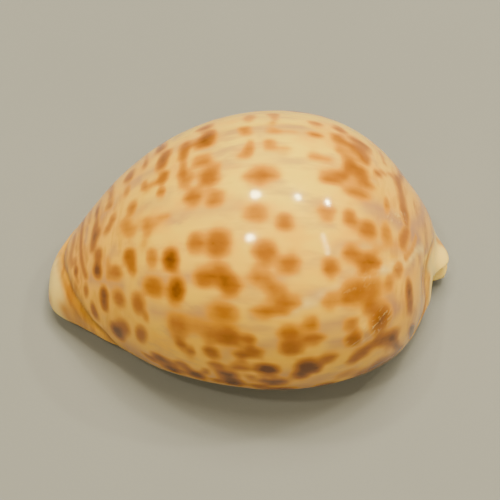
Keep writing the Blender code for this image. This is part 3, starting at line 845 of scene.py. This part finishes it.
# Lamps: place in metres, about 1 m from the shell, and width
LAMPS = [
    (-0.24, 0.27, 0.93, 0.07), (0.21, 0.28, 0.94, 0.07),
    (0.55, 0.27, 0.79, 0.045), (-0.29, -0.22, 0.93, 0.065),
]

# A short row of weaker lamps close together, which the glaze mirrors as a thin streak
LAMP_ROW = [(0.534, -0.108, 0.838), (0.552, -0.155, 0.819), (0.570, -0.215, 0.793), (0.586, -0.275, 0.762)]
LAMP_ROW_WIDTH = 0.022
LAMP_ROW_SHARE = 0.09          # power of one lamp of the row, as a share of a single lamp's
WARM = (1.0, 0.88, 0.50)

# Wide soft lights, as place and width in metres, and the fill's power as a share of the overhead's
OVERHEAD = ((0.1, 0.25, 1.0), 0.6)
FILL = ((0.1, -1.3, 0.8), 1.2)
FILL_SHARE = 0.34
SKY_COLOUR = (1.0, 0.86, 0.40, 1.0)
SKY_STRENGTH = 0.36

FLOOR_SIZE = 6.0
FLOOR_CONTRAST = 1.12


def area_light(name, place, size, power, glossy=True):
    """A round warm light that faces the shell, and is mirrored in it when glossy is true."""
    light = bpy.data.lights.new(name, "AREA")
    light.energy = power
    light.size = size
    light.color = WARM
    light.shape = "DISK"
    lamp = bpy.data.objects.new(name, light)
    bpy.context.scene.collection.objects.link(lamp)
    lamp.location = place
    lamp.visible_glossy = glossy
    lamp.rotation_euler = Vector(place).to_track_quat("Z", "Y").to_euler()


class OBJECT_OT_cowrie_stage(Operator):
    """Make the stage: a plain pale floor, soft light and the camera"""
    bl_idname = "object.cowrie_stage"
    bl_label = "Stage"

    def execute(self, context):
        stage = context.scene.cowrie_stage
        deselect()
        bpy.ops.mesh.primitive_plane_add(size=FLOOR_SIZE)
        floor = context.object
        floor.name = "floor"
        material = bpy.data.materials.new("floor")
        tree = Tree(material)
        surface = tree.nodes["Principled BSDF"]
        clouds, grain = tree.noise(45.0, detail=4.0), tree.noise(0.9)
        paler = tuple(min(1.0, FLOOR_CONTRAST * value) for value in stage.floor)
        blend = tree.sum(clouds, 0.8, 0.1)
        tree.links.new(tree.over(tuple(stage.floor), paler, blend), surface.inputs["Base Color"])
        tree.links.new(tree.sum(grain, 0.14, 0.78), surface.inputs["Roughness"])
        bump = tree.add("ShaderNodeBump", {"Height": grain, "Strength": 0.5, "Distance": 0.06 * MM})
        tree.links.new(bump.outputs["Normal"], surface.inputs["Normal"])
        floor.data.materials.append(material)

        for number, (x, y, z, width) in enumerate(LAMPS):
            area_light(f"lamp_{number + 1}", (x, y, z), width, stage.lamp_power)
        for number, place in enumerate(LAMP_ROW):
            area_light(f"row_{number + 1}", place, LAMP_ROW_WIDTH, LAMP_ROW_SHARE * stage.lamp_power)
        area_light("fill", *FILL, FILL_SHARE * stage.sky_power, glossy=False)
        area_light("overhead", *OVERHEAD, stage.sky_power, glossy=False)
        world = bpy.data.worlds.new("warm sky")
        world.use_nodes = True
        sky = world.node_tree.nodes["Background"]
        sky.inputs["Color"].default_value = SKY_COLOUR
        sky.inputs["Strength"].default_value = SKY_STRENGTH
        context.scene.world = world

        turn, height = math.radians(CAMERA_TURN), math.radians(CAMERA_HEIGHT)
        level = math.cos(height)
        back = Vector((math.sin(turn) * level, -math.cos(turn) * level, math.sin(height)))
        lens = bpy.data.cameras.new("camera")
        lens.lens = stage.focal_length
        lens.sensor_width = SENSOR_WIDTH
        lens.shift_x, lens.shift_y = CAMERA_SHIFT
        lens.clip_start = NEAREST_SEEN
        camera = bpy.data.objects.new("camera", lens)
        context.scene.collection.objects.link(camera)
        upright = back.to_track_quat("Z", "Y").to_matrix().to_4x4()
        place = Matrix.Translation((AIM + back * CAMERA_DISTANCE) * MM)
        camera.matrix_world = place @ upright @ Matrix.Rotation(math.radians(CAMERA_ROLL), 4, "Z")
        context.scene.camera = camera
        return {"FINISHED"}


class VIEW3D_PT_cowrie(Panel):
    """Sizes, colours and steps of the cowrie shell"""
    bl_label = "Cowrie shell"
    bl_idname = "VIEW3D_PT_cowrie"
    bl_space_type = "VIEW_3D"
    bl_region_type = "UI"
    bl_category = "Cowrie"

    def draw(self, context):
        layout = self.layout
        for group in (context.scene.cowrie_form, context.scene.cowrie_colours, context.scene.cowrie_stage):
            for name in group.__annotations__:
                layout.prop(group, name)
        layout.operator(OBJECT_OT_cowrie_shell.bl_idname)
        layout.operator(OBJECT_OT_cowrie_stage.bl_idname)


CLASSES = (
    CowrieForm, CowrieColours, CowrieStage, OBJECT_OT_cowrie_shell, OBJECT_OT_cowrie_stage, VIEW3D_PT_cowrie,
)


def register():
    for item in CLASSES:
        bpy.utils.register_class(item)
    bpy.types.Scene.cowrie_form = PointerProperty(type=CowrieForm)
    bpy.types.Scene.cowrie_colours = PointerProperty(type=CowrieColours)
    bpy.types.Scene.cowrie_stage = PointerProperty(type=CowrieStage)


def unregister():
    del bpy.types.Scene.cowrie_stage
    del bpy.types.Scene.cowrie_colours
    del bpy.types.Scene.cowrie_form
    for item in reversed(CLASSES):
        bpy.utils.unregister_class(item)


def main():
    register()
    bpy.ops.object.cowrie_shell()
    bpy.ops.object.cowrie_stage()


if __name__ == "__main__":
    main()
